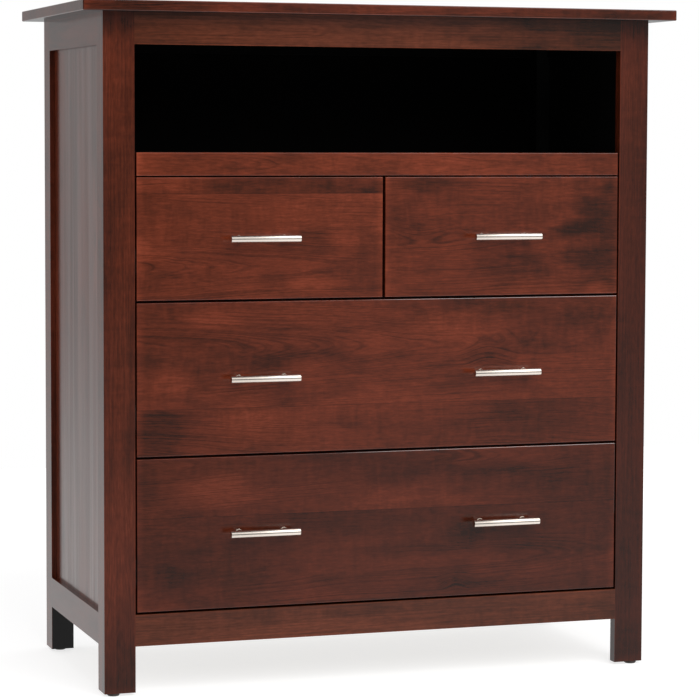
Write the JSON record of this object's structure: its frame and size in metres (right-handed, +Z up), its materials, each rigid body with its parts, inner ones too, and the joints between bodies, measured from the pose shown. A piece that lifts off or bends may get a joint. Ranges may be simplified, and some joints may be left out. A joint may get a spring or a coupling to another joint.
{
  "type": "chest of drawers",
  "caption": "Freestanding wooden media chest with an open compartment above small and wide flush drawers on full-extension slides, with bar pulls and frame-and-panel sides.",
  "frame": {"origin": "centre of the bounding box at floor level, drawers shut", "axes": "+Z up, -Y out of the drawer fronts, +X to the right of someone facing the drawers"},
  "size_m": [1.116, 0.523, 1.219],
  "materials": {
    "stained_wood": "dark reddish-brown stain under satin lacquer",
    "dark_interior": "near-black stain, matt lacquer",
    "carcass_wood": "plain planed hardwood, clear sealer",
    "drawer_maple": "clear satin lacquer on maple",
    "drawer_ply": "clear-sealed plywood",
    "satin_nickel": "satin nickel plate, finely brushed",
    "zinc_steel": "bright zinc plate on bent sheet steel",
    "glide_plastic": "moulded nylon, slightly worn"
  },
  "bodies": {
    "cabinet": {"top_panel": "stained_wood", "left_front_stile": "stained_wood", "right_front_stile": "stained_wood", "front_top_rail": "stained_wood", "front_bottom_rail": "stained_wood", "left_side_stile": "stained_wood", "left_rear_post": "stained_wood", "left_side_bottom_rail": "stained_wood", "left_side_top_rail": "stained_wood", "left_side_panel": "stained_wood", "right_side_stile": "stained_wood", "right_rear_post": "stained_wood", "right_side_bottom_rail": "stained_wood", "right_side_top_rail": "stained_wood", "right_side_panel": "stained_wood", "shelf_front_strip": "stained_wood", "media_shelf": "dark_interior", "back_panel": "dark_interior", "back_rails": "carcass_wood", "drawer_partition": "carcass_wood", "drawer_dividers": "carcass_wood", "slide_cleats": "carcass_wood", "slide_cabinet_members": "zinc_steel", "floor_glides": "glide_plastic"},
    "upper_left_drawer": {"upper_left_drawer_front": "stained_wood", "upper_left_drawer_box_front": "drawer_maple", "upper_left_drawer_box_back": "drawer_maple", "upper_left_drawer_box_left_side": "drawer_maple", "upper_left_drawer_box_right_side": "drawer_maple", "upper_left_drawer_box_bottom": "drawer_ply", "upper_left_drawer_pulls": "satin_nickel", "upper_left_slide_drawer_members": "zinc_steel"},
    "upper_left_slide_middles": {"upper_left_slide_middle_members": "zinc_steel"},
    "upper_right_drawer": {"upper_right_drawer_front": "stained_wood", "upper_right_drawer_box_front": "drawer_maple", "upper_right_drawer_box_back": "drawer_maple", "upper_right_drawer_box_left_side": "drawer_maple", "upper_right_drawer_box_right_side": "drawer_maple", "upper_right_drawer_box_bottom": "drawer_ply", "upper_right_drawer_pulls": "satin_nickel", "upper_right_slide_drawer_members": "zinc_steel"},
    "upper_right_slide_middles": {"upper_right_slide_middle_members": "zinc_steel"},
    "middle_drawer": {"middle_drawer_front": "stained_wood", "middle_drawer_box_front": "drawer_maple", "middle_drawer_box_back": "drawer_maple", "middle_drawer_box_left_side": "drawer_maple", "middle_drawer_box_right_side": "drawer_maple", "middle_drawer_box_bottom": "drawer_ply", "middle_drawer_pulls": "satin_nickel", "middle_slide_drawer_members": "zinc_steel"},
    "middle_slide_middles": {"middle_slide_middle_members": "zinc_steel"},
    "lower_drawer": {"lower_drawer_front": "stained_wood", "lower_drawer_box_front": "drawer_maple", "lower_drawer_box_back": "drawer_maple", "lower_drawer_box_left_side": "drawer_maple", "lower_drawer_box_right_side": "drawer_maple", "lower_drawer_box_bottom": "drawer_ply", "lower_drawer_pulls": "satin_nickel", "lower_slide_drawer_members": "zinc_steel"},
    "lower_slide_middles": {"lower_slide_middle_members": "zinc_steel"}
  },
  "joints": [
    {"name": "upper_left_drawer_slide", "type": "slide", "parent": "cabinet", "child": "upper_left_drawer", "axis": [0, -1, 0], "range_m": [0, 0.39]},
    {"name": "upper_left_slide_middles_slide", "type": "slide", "parent": "cabinet", "child": "upper_left_slide_middles", "axis": [0, -1, 0], "range_m": [0, 0.195]},
    {"name": "upper_right_drawer_slide", "type": "slide", "parent": "cabinet", "child": "upper_right_drawer", "axis": [0, -1, 0], "range_m": [0, 0.39]},
    {"name": "upper_right_slide_middles_slide", "type": "slide", "parent": "cabinet", "child": "upper_right_slide_middles", "axis": [0, -1, 0], "range_m": [0, 0.195]},
    {"name": "middle_drawer_slide", "type": "slide", "parent": "cabinet", "child": "middle_drawer", "axis": [0, -1, 0], "range_m": [0, 0.39]},
    {"name": "middle_slide_middles_slide", "type": "slide", "parent": "cabinet", "child": "middle_slide_middles", "axis": [0, -1, 0], "range_m": [0, 0.195]},
    {"name": "lower_drawer_slide", "type": "slide", "parent": "cabinet", "child": "lower_drawer", "axis": [0, -1, 0], "range_m": [0, 0.39]},
    {"name": "lower_slide_middles_slide", "type": "slide", "parent": "cabinet", "child": "lower_slide_middles", "axis": [0, -1, 0], "range_m": [0, 0.195]}
  ],
  "couplings": [
    {"joint": "upper_left_slide_middles_slide", "follows": "upper_left_drawer_slide", "ratio": 0.5},
    {"joint": "upper_right_slide_middles_slide", "follows": "upper_right_drawer_slide", "ratio": 0.5},
    {"joint": "middle_slide_middles_slide", "follows": "middle_drawer_slide", "ratio": 0.5},
    {"joint": "lower_slide_middles_slide", "follows": "lower_drawer_slide", "ratio": 0.5}
  ]
}
